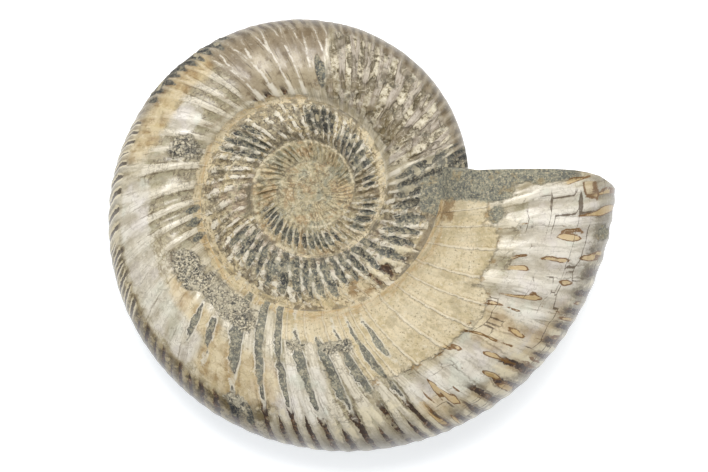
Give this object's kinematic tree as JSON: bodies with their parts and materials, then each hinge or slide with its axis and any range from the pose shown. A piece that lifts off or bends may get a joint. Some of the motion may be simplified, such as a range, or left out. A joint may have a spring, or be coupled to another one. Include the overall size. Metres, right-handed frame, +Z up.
{
  "type": "polished ribbed ammonite fossil",
  "caption": "Fossil ammonite lying on its side: an evolute coil of forking ribs with a broken, stone-filled lip, polished, with grey sediment left in its hollows.",
  "frame": {"origin": "middle of the bounding box, on the surface the fossil lies on", "axes": "+Z up, through the coil from its ground underside; +X towards the lip, along the fossil's longest reach"},
  "size_m": [0.1638, 0.1398, 0.046],
  "materials": {
    "ammonite": "polished fossil shell, with matte sediment in places"
  },
  "bodies": {
    "root": {"ammonite": "ammonite"}
  },
  "joints": []
}
